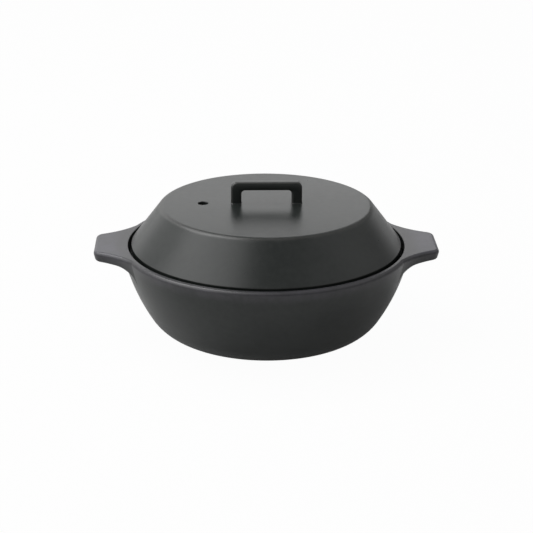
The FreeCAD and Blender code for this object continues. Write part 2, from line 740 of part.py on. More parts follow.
front = new_sketch(handle_blank, "handle_front", "XZ_Plane")
right_side = draw_line(front, (half_length, foot_level), (half_length, corner_up))
right_corner = draw_arc(front, (half_length - corner, corner_up), corner, 0, 90)
bar_top = draw_line(front, (half_length - corner, handle_top), (corner - half_length, handle_top))
left_corner = draw_arc(front, (corner - half_length, corner_up), corner, 90, 180)
left_side = draw_line(front, (-half_length, corner_up), (-half_length, foot_level))
left_foot = draw_line(front, (-half_length, foot_level), (-half_gap, foot_level))
left_inside = draw_line(front, (-half_gap, foot_level), (-half_gap, arch_up))
left_arch = draw_arc(front, (arch - half_gap, arch_up), arch, 90, 180)
bar_line = draw_line(front, (arch - half_gap, bar_under), (half_gap - arch, bar_under))
right_arch = draw_arc(front, (half_gap - arch, arch_up), arch, 0, 90)
right_inside = draw_line(front, (half_gap, arch_up), (half_gap, foot_level))
right_foot = draw_line(front, (half_gap, foot_level), (half_length, foot_level))
close_at(
    front,
    ("Tangent", right_side, END, right_corner, START),
    ("Tangent", right_corner, END, bar_top, START),
    ("Tangent", bar_top, END, left_corner, START),
    ("Tangent", left_corner, END, left_side, START),
    ("Coincident", left_side, END, left_foot, START),
    ("Coincident", left_foot, END, left_inside, START),
    ("Tangent", left_inside, END, left_arch, END),
    ("Tangent", left_arch, START, bar_line, START),
    ("Tangent", bar_line, END, right_arch, END),
    ("Tangent", right_arch, START, right_inside, START),
    ("Coincident", right_inside, END, right_foot, START),
    ("Coincident", right_foot, END, right_side, START),
)
for level in (bar_top, bar_line, right_foot):
    rule(front, "Horizontal", level)
for upright in (right_side, right_inside, left_inside, left_side):
    rule(front, "Vertical", upright)
rule(front, "Symmetric", left_foot, START, right_foot, END, UP_AXIS)
rule(front, "Symmetric", left_foot, END, right_foot, START, UP_AXIS)
rule(front, "Equal", right_corner, left_corner)
rule(front, "Equal", right_arch, left_arch)
across(front, "half_length", right_foot, END, half_length)
across(front, "half_gap", right_foot, START, half_gap)
up(front, "foot_level", right_foot, END, foot_level)
up(front, "handle_top", bar_top, START, handle_top)
up(front, "bar_under", bar_line, START, bar_under)
radius(front, "corner", right_corner, corner)
radius(front, "arch", right_arch, arch)
bridge = handle_blank.newObject("PartDesign::Pad", "bridge")
bridge.Profile = front
bridge.SideType = "Symmetric"
bridge.Length = float(size("handle_depth"))
bridge.setExpression("Length", "Sizes.handle_depth")
doc.recompute()


def on_handle_foot(point):
    """Tell whether a point lies on the line where a leg meets the lid."""
    beside = abs(point.x) < float(half_length) + 0.1 and abs(point.y) < float(half_depth) + 0.1
    return beside and abs(point.z - float(foot_level)) < 0.01


def on_handle_edge(point):
    """Tell whether a point lies on a long edge of the bridge."""
    return abs(abs(point.y) - float(half_depth)) < 0.01 and point.z > float(foot_level) - 0.01


feet = edges_where(bridge.Shape, on_handle_foot)
long_edges = [name for name in edges_where(bridge.Shape, on_handle_edge) if name not in feet]
rounded = soften(handle_blank, "rounded", bridge, long_edges, size("handle_round"))
coved_edges = edges_where(rounded.Shape, on_handle_foot)
soften(handle_blank, "coved", rounded, coved_edges, size("handle_foot_cove"))
lid_handle = doc.addObject("Part::Cut", "lid_handle")
lid_handle.Base = handle_blank
lid_handle.Tool = lid_form
doc.recompute()

# Write one file for each piece, once every object of the document is sound
for item in doc.Objects:
    if "Invalid" in item.State or "Error" in item.State:
        raise RuntimeError("%s did not build: %s" % (item.Name, item.State))
for node in (pot_body, left_ear, right_ear, lid_shell, lid_handle):
    shape = node.Shape
    if shape.isNull() or not shape.isValid() or len(shape.Solids) != 1:
        raise RuntimeError("%s is not one sound solid" % node.Name)
    node.Label = node.Name
    shape.exportStep("parts/%s.step" % node.Name)
    print("%s %.1f cm3" % (node.Name, shape.Volume / 1000))
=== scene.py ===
"""Looks of a lidded clay pot: its glazed pieces and a plain studio around them."""

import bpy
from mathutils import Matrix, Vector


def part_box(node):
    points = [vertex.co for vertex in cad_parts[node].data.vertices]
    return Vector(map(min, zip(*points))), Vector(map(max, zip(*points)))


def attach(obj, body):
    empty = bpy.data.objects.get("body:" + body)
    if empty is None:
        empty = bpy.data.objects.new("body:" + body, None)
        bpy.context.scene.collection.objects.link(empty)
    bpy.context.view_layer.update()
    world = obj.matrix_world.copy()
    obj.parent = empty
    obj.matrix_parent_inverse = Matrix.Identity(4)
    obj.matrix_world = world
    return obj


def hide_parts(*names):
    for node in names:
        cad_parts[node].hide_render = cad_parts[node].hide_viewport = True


bl_info = {
    "name": "Clay Pot Looks",
    "version": (1, 0, 0),
    "blender": (4, 5, 0),
    "location": "View3D > Sidebar > Clay Pot",
    "description": "Builds a lidded clay pot with a satin charcoal glaze, and a studio to show it in",
    "category": "Add Mesh",
}

import collections
import math

import bmesh
import bpy
from bpy.props import FloatProperty, FloatVectorProperty, IntProperty, PointerProperty
from bpy.types import Operator, Panel, PropertyGroup
from mathutils import Euler, Matrix, Vector

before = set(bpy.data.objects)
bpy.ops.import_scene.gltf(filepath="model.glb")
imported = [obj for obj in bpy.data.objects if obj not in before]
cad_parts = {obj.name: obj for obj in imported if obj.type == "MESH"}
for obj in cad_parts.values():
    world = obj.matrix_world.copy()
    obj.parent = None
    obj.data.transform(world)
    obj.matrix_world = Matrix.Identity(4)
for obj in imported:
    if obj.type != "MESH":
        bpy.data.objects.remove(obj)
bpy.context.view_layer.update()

MM = 0.001
RIM_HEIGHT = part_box("pot_body")[1].z
LID_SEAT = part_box("lid_shell")[0].z
LID_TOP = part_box("lid_shell")[1].z
HANDLE_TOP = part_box("lid_handle")[1].z


def length(name, description, millimetres):
    """Return a length property that is given in millimetres."""
    return FloatProperty(
        name=name, description=description, default=millimetres * MM, min=0.0, unit="LENGTH", precision=4
    )


def angle(name, description, degrees):
    """Return an angle property that is given in degrees."""
    return FloatProperty(
        name=name, description=description, default=math.radians(degrees), subtype="ANGLE"
    )


def share(name, description, default):
    """Return a property between nought and one."""
    return FloatProperty(
        name=name, description=description, default=default, min=0.0, max=1.0, subtype="FACTOR"
    )


def colour(name, description, default):
    """Return a linear colour property."""
    return FloatVectorProperty(
        name=name, description=description, default=default, min=0.0, max=1.0, size=3, subtype="COLOR"
    )


class BowlSizes(PropertyGroup):
    """Sizes of the pot's bowl."""

    rim_radius: length("Rim radius", "Axis to the outer edge of the rim", 133.9)
    rim_height: length("Rim height", "Table to the top of the rim", RIM_HEIGHT / MM)
    rim_width: length("Rim width", "Width of the rim's top", 6.4)
    rim_round: length("Rim rounding", "Rounding of the rim's outer edge", 3.0)
    lip_round: length("Lip rounding", "Rounding of the rim's inner edge", 0.9)
    lean: angle("Lean", "Lean of the band under the rim", 14.0)
    band: length("Band", "Height of the straight band under the rim", 13.0)
    wall_radius: length("Wall curve", "Radius of the long curve of the wall", 180.0)
    belly_height: length("Belly height", "Height where the wall turns in to the foot", 22.0)
    foot_radius: length("Foot radius", "Axis to the outer edge of the foot ring", 76.2)
    foot_height: length("Foot height", "Height of the foot ring's outer side", 3.4)
    foot_width: length("Foot width", "Width of the foot ring", 9.0)
    foot_bevel: length("Foot bevel", "Slope of the foot ring's sides", 1.0)
    foot_recess: length("Foot recess", "Depth of the base inside the foot ring", 1.5)
    floor: length("Floor", "Thickness of the floor", 7.0)
    draft: angle("Gallery draft", "Lean of the gallery's side and of the lid's ring", 6.0)
    seat_width: length("Gallery width", "Width of the ledge that carries the lid", 9.5)
    seat_round: length("Gallery rounding", "Rounding of the ledge's inner edge", 1.2)
    seat_wall: length("Gallery wall", "Height of the upright wall under the ledge", 6.5)


class EarSizes(PropertyGroup):
    """Sizes of the two ears."""

    projection: length("Projection", "Rim to the end of the ear", 25.0)
    tip_width: length("Tip width", "Width of the ear at its end", 53.0)
    corner: length("Corner", "Rounding of the ear's corners from above", 10.0)
    flare: length("Flare", "Radius of the sides that run into the rim", 70.0)
    bite: length("Bite", "How far the sides run into the wall", 0.9)
    thickness: length("Thickness", "Thickness of the ear at the wall", 10.5)
    slope: angle("Slope", "Rise of the underside towards the end", 3.0)
    cove: length("Cove", "Rounding between the underside and the wall", 14.0)
    cove_bite: length("Cove bite", "How far the cove runs into the wall", 1.2)
    top_round: length("Top rounding", "Rounding of the upper edge", 3.0)
    under_round: length("Under rounding", "Rounding of the lower edge", 2.5)


class LidSizes(PropertyGroup):
    """Sizes of the lid."""

    radius: length("Radius", "Axis to the edge of the lid", 124.4)
    top: length("Top", "Table to the middle of the lid's top", LID_TOP / MM)
    crown: length("Crown", "Rise of the top from its edge to its middle", 1.6)
    seat: length("Seat", "Table to the ring that rests in the gallery", LID_SEAT / MM)
    edge_rise: length("Edge rise", "Rim to the corner of the lid's edge", 0.9)
    slope: angle("Slope", "Slope of the conical side", 52.86)
    thickness: length("Thickness", "Thickness of the lid", 6.5)
    crease: length("Crease", "Rounding between top and side", 7.0)
    under_crease: length("Under crease", "Rounding under the crease", 5.0)
    edge_round: length("Edge rounding", "Rounding of the lid's edge", 1.3)
    ring_width: length("Ring width", "Width of the ring that rests in the gallery", 8.5)
    ring_round: length("Ring rounding", "Rounding of the ring's outer edge", 1.0)
    vent_offset: length("Vent offset", "Axis to the steam vent", 58.0)
    vent_width: length("Vent width", "Diameter of the steam vent", 9.5)
    vent_round: length("Vent rounding", "Rounding of the vent's edges", 0.8)


class HandleSizes(PropertyGroup):
    """Sizes of the lid's bridge handle."""

    reach: length("Reach", "Half the length of the handle", 32.55)
    top: length("Top", "Table to the top of the handle", HANDLE_TOP / MM)
    depth: length("Depth", "Front to back of the handle", 9.2)
    leg: length("Leg", "Width of a leg", 9.6)
    bar: length("Bar", "Height of the bar", 7.6)
    corner: length("Corner", "Outer rounding of the corners", 5.0)
    arch: length("Arch", "Inner rounding of the corners", 3.4)
    edge_round: length("Edge rounding", "Rounding of the long edges", 2.2)
    foot_cove: length("Foot cove", "Cove where a leg meets the lid", 1.2)


class GlazeLooks(PropertyGroup):
    """Colours and gloss of the glaze and the bare clay."""

    deep: colour("Deep glaze", "Colour where the glaze lies thick", (0.0104, 0.0132, 0.0121))
    thin: colour("Thin glaze", "Colour where the glaze lies thin", (0.0178, 0.0208, 0.0196))
    edge: colour("Edge glaze", "Colour where the glaze draws back from an edge", (0.034, 0.032, 0.030))
    # Rim tone: thin glaze on the rim, the band under it and the ears, made lighter partly as painted light
    rim: colour("Rim glaze", "Colour where the glaze runs thin, on rim and ears", (0.044, 0.042, 0.049))
    # Ear tone: painted sheen that makes the ears' tops lighter and bluer, standing in for the light they
    # catch
    ear: colour("Ear glaze", "Colour on the ears' tops, where the glaze is thinnest", (0.066, 0.064, 0.080))
    clay: colour("Bare clay", "Colour of the unglazed foot", (0.27, 0.18, 0.115))
    roughness: share("Roughness", "Roughness of the satin surface", 0.305)


class StudioLooks(PropertyGroup):
    """Camera, lamps and floor."""

    distance: length("Distance", "Camera to the aim point", 1583.7)
    aim_height: length("Aim height", "Table to the aim point", 55.9)
    elevation: angle("Elevation", "Camera's angle above the table", 20.42)
    turn: angle("Turn", "Camera's angle to the right of the front", -1.9)
    roll: angle("Roll", "Camera's roll", 0.318)
    lens: FloatProperty(name="Lens", description="Focal length in millimetres", default=114.8, min=1.0)
    shift: FloatVectorProperty(
        name="Shift", description="Shift of the picture", default=(0.0009, 0.0132), size=2
    )
    key_power: FloatProperty(name="Key", description="Power of the left lamp", default=17.0, unit="POWER")
    back_power: FloatProperty(name="Back", description="Power of the rear lamp", default=3.6, unit="POWER")
    top_power: FloatProperty(name="Top", description="Power of the upper lamp", default=10.0, unit="POWER")
    walls: share("Walls", "Light from the room's walls", 0.12)
    left_wall: share("Left wall", "Light that the left wall adds", 0.46)
    left_corner: share("Left corner", "Light that the far corner on the left adds", 0.16)
    backdrop: share("Backdrop", "Light that the wall behind adds", 0.6)
    ceiling: share("Ceiling", "Light that the ceiling adds", 0.2)
    sides: share("Sides", "Light that the upper parts of the side walls add", 0.65)
    floor_tone: share("Floor tone", "Paleness of the floor's paint", 0.58)
    floor_glow: share("Floor whiteness", "How far the floor stays white in the pot's shadow", 0.97)
    glossy_white: share("White in gloss", "How much of the white surroundings shows in gloss", 0.04)


class ClayPotSettings(PropertyGroup):
    """Everything that can be set."""

    bowl: PointerProperty(type=BowlSizes)
    ear: PointerProperty(type=EarSizes)
    lid: PointerProperty(type=LidSizes)
    handle: PointerProperty(type=HandleSizes)
    glaze: PointerProperty(type=GlazeLooks)
    studio: PointerProperty(type=StudioLooks)
    segments: IntProperty(name="Segments", description="Sides of a turned piece", default=192, min=32)


# Outlines

HOLD = 0.35 * MM
FINE = math.radians(9.0)
COARSE = math.radians(2.0)
SHARP = math.radians(40.0)
LONG_CURVE = 20.0 * MM
ON_AXIS = 1e-6


def on_circle(centre, radius, turn):
    """Return the point of a circle at an angle."""
    return Vector((centre[0] + radius * math.cos(turn), centre[1] + radius * math.sin(turn)))


def arc(centre, radius, first, last, step=FINE):
    """Return points of an arc from one angle to another, ends included."""
    steps = max(3, math.ceil(abs(last - first) / step))
    return [on_circle(centre, radius, first + (last - first) * k / steps) for k in range(steps + 1)]


def spread(first, last, steps):
    """Return evenly spaced values, ends included."""
    return [first + (last - first) * k / steps for k in range(steps + 1)]


def trace(corners):
    """Round the corners of an outline that runs anticlockwise round its solid.

    A corner is across, up and rounding. A point is across, up and edge, where edge rises to
    one on a rounded edge and falls to minus one in a rounded hollow.
    """
    points = []
    for k, (across, up, rounding) in enumerate(corners):
        here = Vector((across, up))
        if not rounding:
            points.append((across, up, 0.0))
            continue
        before = (Vector(corners[k - 1][:2]) - here).normalized()
        after = (Vector(corners[k + 1][:2]) - here).normalized()
        half = before.angle(after) / 2
        run = rounding / math.tan(half)
        centre = here + (before + after).normalized() * rounding / math.sin(half)
        outward = math.copysign(1.0, after.cross(before))
        first = math.atan2(*reversed(here + before * run - centre))
        bend = outward * (math.pi - 2 * half)
        curve = arc(centre, rounding, first, first + bend, FINE if rounding < LONG_CURVE else COARSE)
        points.append((*(here + before * (run + HOLD)), 0.0))
        for step, point in enumerate(curve):
            points.append((*point, outward * math.sin(math.pi * step / (len(curve) - 1))))
        points.append((*(here + after * (run + HOLD)), 0.0))
    return points


# Meshes

def turned(points, segments):
    """Turn an outline round the Z axis and return the mesh with its rings of corners."""
    shape = bmesh.new()
    edge = shape.verts.layers.float.new("edge")
    rings = []
    for across, up, wear in points:
        count = segments if across > ON_AXIS else 1
        ring = []
        for k in range(count):
            turn = 2 * math.pi * k / segments
            ring.append(shape.verts.new((across * math.cos(turn), across * math.sin(turn), up)))
            ring[-1][edge] = wear
        rings.append(ring)
    for low, high in zip(rings, rings[1:]):
        for k in range(segments):
            corners = [low[k % len(low)], low[(k + 1) % len(low)]]
            corners += [high[(k + 1) % len(high)], high[k % len(high)]]
            shape.faces.new(list(dict.fromkeys(corners)))
    return shape, rings


def skinned(loops, wear):
    """Join closed loops of points with faces and cap both ends."""
    shape = bmesh.new()
    edge = shape.verts.layers.float.new("edge")
    rows = []
    for loop in loops:
        row = [shape.verts.new(point) for point in loop]
        for corner, value in zip(row, wear):
            corner[edge] = value
        rows.append(row)
    count = len(wear)
    for near, far in zip(rows, rows[1:]):
        for k in range(count):
            shape.faces.new((near[k], near[(k + 1) % count], far[(k + 1) % count], far[k]))
    shape.faces.new(list(reversed(rows[0])))
    shape.faces.new(rows[-1])
    return shape


def add_piece(name, shape, body, node, material):
    """Make a mesh a piece that rides on a body and stands for a node of the frame."""
    bmesh.ops.recalc_face_normals(shape, faces=shape.faces)
    for edge in shape.edges:
        edge.smooth = edge.calc_face_angle(0.0) < SHARP
    mesh = bpy.data.meshes.new(name)
    shape.to_mesh(mesh)
    shape.free()
    mesh.shade_smooth()
    mesh.materials.append(material)
    piece = bpy.data.objects.new(name, mesh)
    bpy.context.scene.collection.objects.link(piece)
    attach(piece, body)
    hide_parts(node)
    return piece


# Shaders

class Wire:
    """A socket of a shader that takes part in Python expressions."""

    def __init__(self, tree, socket=None):
        self.tree = tree
        self.socket = socket

    def node(self, kind, settings=(), sockets=(), output=0):
        """Add a node from its type, its settings and the values or links of its sockets."""
        added = self.tree.nodes.new(kind)
        for name, value in dict(settings).items():
            setattr(added, name, value)
        for name, value in dict(sockets).items():
            if isinstance(value, Wire):
                self.tree.links.new(value.socket, added.inputs[name])
            else:
                added.inputs[name].default_value = value
        return Wire(self.tree, added.outputs[output] if added.outputs else None)

    def maths(self, operation, first, second):
        """Join two values with a Math node."""
        return self.node("ShaderNodeMath", {"operation": operation}, {0: first, 1: second})

    def __add__(self, other):
        return self.maths("ADD", self, other)

    def __sub__(self, other):
        return self.maths("SUBTRACT", self, other)

    def __rsub__(self, other):
        return self.maths("SUBTRACT", other, self)

    def __mul__(self, other):
        return self.maths("MULTIPLY", self, other)

    def __pow__(self, other):
        return self.maths("POWER", self, other)

    __radd__ = __add__
    __rmul__ = __mul__

    def largest(self, other):
        """Return the larger of two values."""
        return self.maths("MAXIMUM", self, other)

    def ramp(self, low, high):
        """Return nought below one value, one above another and a smooth step between."""
        settings = {"interpolation_type": "SMOOTHSTEP"}
        return self.node("ShaderNodeMapRange", settings, {"Value": self, "From Min": low, "From Max": high})

    def blend(self, first, second):
        """Return a colour between two, by this value."""
        colours = [item if isinstance(item, Wire) else (*item, 1.0) for item in (first, second)]
        settings = {"data_type": "RGBA"}
        return self.node("ShaderNodeMix", settings, {0: self, 6: colours[0], 7: colours[1]}, 2)

    def noise(self, scale, detail=3.0, roughness=0.5):
        """Return clouds of a number of spots per metre."""
        sockets = {"Vector": self, "Scale": scale, "Detail": detail, "Roughness": roughness}
        return self.node("ShaderNodeTexNoise", (), sockets)


def new_tree(block):
    """Clear the nodes of a material or world and return a wire to start from."""
    block.use_nodes = True
    block.node_tree.nodes.clear()
    return Wire(block.node_tree)


# Patterns of the glaze and the clay: spots in a metre, detail and roughness of the noise
CLOUDS = (22.0, 4.0)
MOTTLE = (190.0, 3.0)
SPECKS = (520.0, 1.0)
GRAIN = (900.0, 2.0)
CLAY = (420.0, 5.0, 0.65)

# Where each pattern starts and is full
THIN_RANGE = (0.36, 0.66)
SPECK_RANGE = (0.69, 0.76)
WORN_RANGE = (0.15, 0.95)
WORN_WAVER = 0.5
WORN_DELAY = 0.45
GATHERED_RANGE = (0.1, 0.9)
CLAY_RANGE = (0.3, 0.7)

# How much each pattern adds to the colour, the roughness and the relief
CLOUD_SHARE = 0.65
WORN_COLOUR = 0.5
SPECK_COLOUR = 0.15
RIM_COLOUR = 0.4
CLAY_SHADE = 0.72
CLOUD_ROUGHNESS = 0.07
MOTTLE_ROUGHNESS = 0.09
WORN_ROUGHNESS = 0.05
GATHERED_ROUGHNESS = -0.06
DRY_ROUGHNESS = 0.55
CLAY_ROUGHNESS = 0.45
CLOUD_RELIEF = 0.6
MOTTLE_RELIEF = 0.12
GRAIN_RELIEF = 0.028
CLAY_RELIEF = 1.4
RELIEF_DEPTH = 0.12 * MM
RELIEF_STRENGTH = 0.5
GLAZE_INDEX = 1.5

# Borders of the glaze and of its painted light on the bowl and the ears
SOFT_BORDER = 1.0 * MM
GLAZE_END = (1.9 * MM, 2.3 * MM)
GLAZE_END_WAVER = 0.9 * MM
DRY_TOP = (3.0 * MM, 6.0 * MM)
THIN_TOP = 3.0 * MM
EAR_FADE = (-2.0 * MM, 10.0 * MM)


def glaze_material(name, looks, bowl=None, seat=0.0):
    """Make the satin glaze, which thins on edges and gathers in hollows.

    On a bowl it runs thin on the rim and stops above the foot, and the gallery that carries the lid is left
    dry.
    The rim, the band under it and the ears are lighter, partly as thin glaze and partly as painted light,
    and the ears' tops carry a lighter, bluer painted sheen.
    """
    material = bpy.data.materials.new(name)
    wire = new_tree(material)
    place = wire.node("ShaderNodeTexCoord", output="Object")
    edge = wire.node("ShaderNodeAttribute", {"attribute_name": "edge"}, output="Fac")
    clouds = place.noise(*CLOUDS)
    mottle = place.noise(*MOTTLE)
    grain = place.noise(*GRAIN)
    specks = place.noise(*SPECKS).ramp(*SPECK_RANGE)
    thin = (clouds * CLOUD_SHARE + mottle * (1.0 - CLOUD_SHARE)).ramp(*THIN_RANGE)
    worn = (edge + mottle * WORN_WAVER - WORN_DELAY).ramp(*WORN_RANGE)
    gathered = (-1.0 * edge).ramp(*GATHERED_RANGE)
    tone = thin.blend(looks.deep, looks.thin)
    tone = (worn * WORN_COLOUR).blend(tone, looks.edge)
    tone = (specks * SPECK_COLOUR).blend(tone, looks.edge)
    gloss = looks.roughness + CLOUD_ROUGHNESS * (clouds - 0.5) + MOTTLE_ROUGHNESS * (mottle - 0.5)
    gloss = gloss + worn * WORN_ROUGHNESS + gathered * GATHERED_ROUGHNESS
    relief = clouds * CLOUD_RELIEF + mottle * MOTTLE_RELIEF + grain * GRAIN_RELIEF
    if bowl:
        right, back, up = (wire.node("ShaderNodeSeparateXYZ", (), {0: place}, axis) for axis in range(3))
        distance = (right * right + back * back) ** 0.5
        inner = bowl.rim_radius - bowl.rim_width
        inside = 1.0 - distance.ramp(inner, inner + SOFT_BORDER)
        wall_foot = seat - bowl.seat_wall
        gallery = up.ramp(wall_foot, wall_foot + SOFT_BORDER)
        dry = inside * gallery * (1.0 - up.ramp(*(seat + rise for rise in DRY_TOP)))
        gloss = gloss + dry * DRY_ROUGHNESS
        # Painted light: the rim, the band and the ears are lightened, partly as thin glaze, and the ears'
        # tops get a lighter, bluer painted sheen
        shoulder = bowl.rim_height - THIN_TOP
        thin_band_and_painted_light = up.ramp(bowl.rim_height - bowl.band, shoulder) * (1.0 - inside)
        on_ear = distance.ramp(*(bowl.rim_radius + run for run in EAR_FADE))
        on_top = up.ramp(shoulder, bowl.rim_height)
        thinnest_plus_painted_sheen = (on_ear * on_top).blend(looks.rim, looks.ear)
        tone = (thin_band_and_painted_light * (RIM_COLOUR + (1.0 - RIM_COLOUR) * thin)).blend(tone, thinnest_plus_painted_sheen)
        ragged = up + (mottle - 0.5) * GLAZE_END_WAVER
        bare = 1.0 - ragged.ramp(*GLAZE_END)
        clay = place.noise(*CLAY)
        shade = [CLAY_SHADE * part for part in looks.clay]
        tone = bare.blend(tone, clay.ramp(*CLAY_RANGE).blend(shade, looks.clay))
        gloss = gloss + bare * CLAY_ROUGHNESS
        relief = relief + bare * clay * CLAY_RELIEF
    sockets = {"Height": relief, "Strength": RELIEF_STRENGTH, "Distance": RELIEF_DEPTH}
    normal = wire.node("ShaderNodeBump", (), sockets)
    sockets = {"Base Color": tone, "Roughness": gloss, "Normal": normal, "IOR": GLAZE_INDEX}
    shader = wire.node("ShaderNodeBsdfPrincipled", (), sockets)
    wire.node("ShaderNodeOutputMaterial", (), {"Surface": shader})
    return material


# Pieces

def settings():
    """Return the settings of the scene."""
    return bpy.context.scene.clay_pot


def outer_wall(bowl):
    """Return the bowl's outer wall from the foot up to the band: a belly curve and a long curve."""
    foot = Vector((bowl.foot_radius, bowl.foot_height))
    band_end = Vector((bowl.rim_radius - bowl.band * math.tan(bowl.lean), bowl.rim_height - bowl.band))
    wall_centre = on_circle(band_end, bowl.wall_radius, math.pi - bowl.lean)
    turn = -math.asin((wall_centre.y - bowl.belly_height) / bowl.wall_radius)
    belly_end = on_circle(wall_centre, bowl.wall_radius, turn)
    chord = belly_end - foot
    outward = on_circle((0, 0), 1, turn)
    belly_radius = chord.dot(chord) / (2 * chord.dot(outward))
    belly_centre = belly_end - outward * belly_radius
    start = math.atan2(*reversed(foot - belly_centre))
    belly = arc(belly_centre, belly_radius, start, turn, COARSE)
    wall = arc(wall_centre, bowl.wall_radius, turn, -bowl.lean, COARSE)
    return [(*point, 0.0) for point in belly + wall[1:]]


RECESS_ROUND = 0.5 * MM
FOOT_ROUND = 0.4 * MM
GALLERY_ROUND = 1.0 * MM


def bowl_outline(bowl, seat):
    """Return the closed section of the bowl, from the base round to the floor."""
    foot_inner = bowl.foot_radius - bowl.foot_width
    rim_inner = bowl.rim_radius - bowl.rim_width
    gallery = rim_inner - (bowl.rim_height - seat) * math.tan(bowl.draft)
    seat_radius = rim_inner - bowl.seat_width
    floor = bowl.foot_recess + bowl.floor
    hollow = seat - bowl.seat_wall - floor
    return trace([
        (0.0, bowl.foot_recess, 0.0),
        (foot_inner - bowl.foot_bevel, bowl.foot_recess, RECESS_ROUND),
        (foot_inner, 0.0, FOOT_ROUND),
        (bowl.foot_radius - bowl.foot_bevel, 0.0, FOOT_ROUND),
        *outer_wall(bowl),
        (bowl.rim_radius, bowl.rim_height, bowl.rim_round),
        (rim_inner, bowl.rim_height, bowl.lip_round),
        (gallery, seat, GALLERY_ROUND),
        (seat_radius, seat, bowl.seat_round),
        (seat_radius, floor, hollow),
        (0.0, floor, 0.0),
    ])


class CLAYPOT_OT_bowl(Operator):
    """Turn the pot's bowl with its foot ring, rounded rim and gallery"""

    bl_idname = "claypot.bowl"
    bl_label = "Bowl"

    def execute(self, context):
        pot = settings()
        shape, _ = turned(bowl_outline(pot.bowl, pot.lid.seat), pot.segments)
        glaze = glaze_material("bowl_glaze", pot.glaze, pot.bowl, pot.lid.seat)
        add_piece("bowl", shape, "pot", "pot_body", glaze)
        return {"FINISHED"}


# How many steps or points each stretch of an ear has
EAR_TIP_STEPS = 6
EAR_TOP_STEPS = 7
EAR_UPPER_STEPS = 9
EAR_SIDE_PARTS = (0.08, 0.5, 0.92)
EAR_LOWER_STEPS = 7
EAR_UNDER_STEPS = 16

EAR_CORNER_STEP = math.radians(7.0)
EAR_SINK = 0.1
EAR_TRIES = 6


def ear_plan(bowl, ear):
    """Return the ear's outline from above, each point with its outward direction."""
    reach = bowl.rim_radius + ear.projection
    throw = bowl.rim_radius - ear.bite + ear.flare
    tip = Vector((reach, ear.tip_width / 2))
    cosine = (throw ** 2 + tip.length_squared - ear.flare ** 2) / (2 * throw * tip.length)
    turn = math.acos(cosine) + math.atan2(tip.y, tip.x)
    flare_centre = on_circle((0, 0), throw, turn)
    corner_across = reach - ear.corner
    run = flare_centre.x - corner_across
    rise = math.sqrt((ear.flare + ear.corner) ** 2 - run ** 2)
    corner_centre = Vector((corner_across, flare_centre.y - rise))
    meet = math.atan2(rise, run)
    half = []
    for up in spread(0.0, corner_centre.y, EAR_TIP_STEPS)[:-1]:
        half.append((Vector((reach, up)), Vector((1, 0))))
    for point in arc(corner_centre, ear.corner, 0.0, meet, EAR_CORNER_STEP)[:-1]:
        half.append((point, (point - corner_centre).normalized()))
    for point in arc(flare_centre, ear.flare, math.pi + meet, math.pi + turn, COARSE):
        half.append((point, (flare_centre - point).normalized()))
    flip = Vector((1, -1))
    front = [(point * flip, outward * flip) for point, outward in reversed(half[1:])]
    return front + half


def ear_underside(bowl, ear):
    """Return the height of the ear's underside by distance from the axis, and where it starts."""
    drop = ear.thickness + ear.cove * math.cos(ear.slope)
    low = bowl.rim_height - drop
    inside = bowl.rim_radius - ear.cove_bite - drop * math.tan(bowl.lean)
    middle = inside + ear.cove
    top = on_circle((middle, low), ear.cove, math.pi / 2 + ear.slope)

    def height(distance):
        if distance >= top.x:
            return top.y + (distance - top.x) * math.tan(ear.slope)
        return low + math.sqrt(max(0.0, ear.cove ** 2 - (middle - max(distance, inside)) ** 2))

    return height, inside


def ear_section(bowl, ear, point, outward, underside, inside):
    """Return one section of the ear as a closed loop: top, side, underside and root."""
    lean = math.tan(bowl.lean)
    upper = ear.top_round
    lower = ear.under_round

    def at(inset, depth):
        spot = point - outward * inset
        return Vector((spot.x, spot.y, bowl.rim_height - depth))

    top_inset = upper / math.cos(bowl.lean) + upper * lean
    depth = ear.thickness
    for _ in range(EAR_TRIES):
        low_inset = (depth - lower) * lean + lower / math.cos(bowl.lean)
        depth = bowl.rim_height - underside((point - outward * low_inset).length)
    inner = bowl.rim_radius - top_inset
    shoulder = at(top_inset, 0.0)
    distance = shoulder.xy.length
    start = min(inner, distance - 3 * HOLD)
    loop = []
    for reach in [*spread(start, distance - HOLD, EAR_TOP_STEPS), distance]:
        sunk = EAR_SINK * max(0.0, inner - reach)
        loop.append(Vector((*(shoulder.xy.normalized() * reach), bowl.rim_height - sunk)))
    for turn in spread(0.0, math.pi / 2 + bowl.lean, EAR_UPPER_STEPS)[1:]:
        loop.append(at(top_inset - upper * math.sin(turn), upper - upper * math.cos(turn)))
    side_depth = depth - lower * (1 - math.sin(bowl.lean))
    side_top, side_foot = loop[-1], at(side_depth * lean, side_depth)
    loop += [side_top.lerp(side_foot, part) for part in EAR_SIDE_PARTS]
    for turn in spread(bowl.lean, math.pi / 2, EAR_LOWER_STEPS):
        loop.append(at(low_inset - lower * math.cos(turn), depth - lower + lower * math.sin(turn)))
    heel = loop[-1].xy
    stop = min(inside - HOLD, heel.length - HOLD)
    for reach in spread(heel.length, stop, EAR_UNDER_STEPS)[1:]:
        loop.append(Vector((*(heel.normalized() * reach), underside(reach))))
    return loop


def ear_wear():
    """Return how far each point of an ear's section lies on a rounded edge."""
    upper = [math.sin(turn) for turn in spread(0.0, math.pi, EAR_UPPER_STEPS)[1:]]
    lower = [math.sin(turn) for turn in spread(0.0, math.pi, EAR_LOWER_STEPS)]
    top = [0.0] * (EAR_TOP_STEPS + 2)
    side = [0.0] * len(EAR_SIDE_PARTS)
    under = [0.0] * EAR_UNDER_STEPS
    return top + upper + side + lower + under


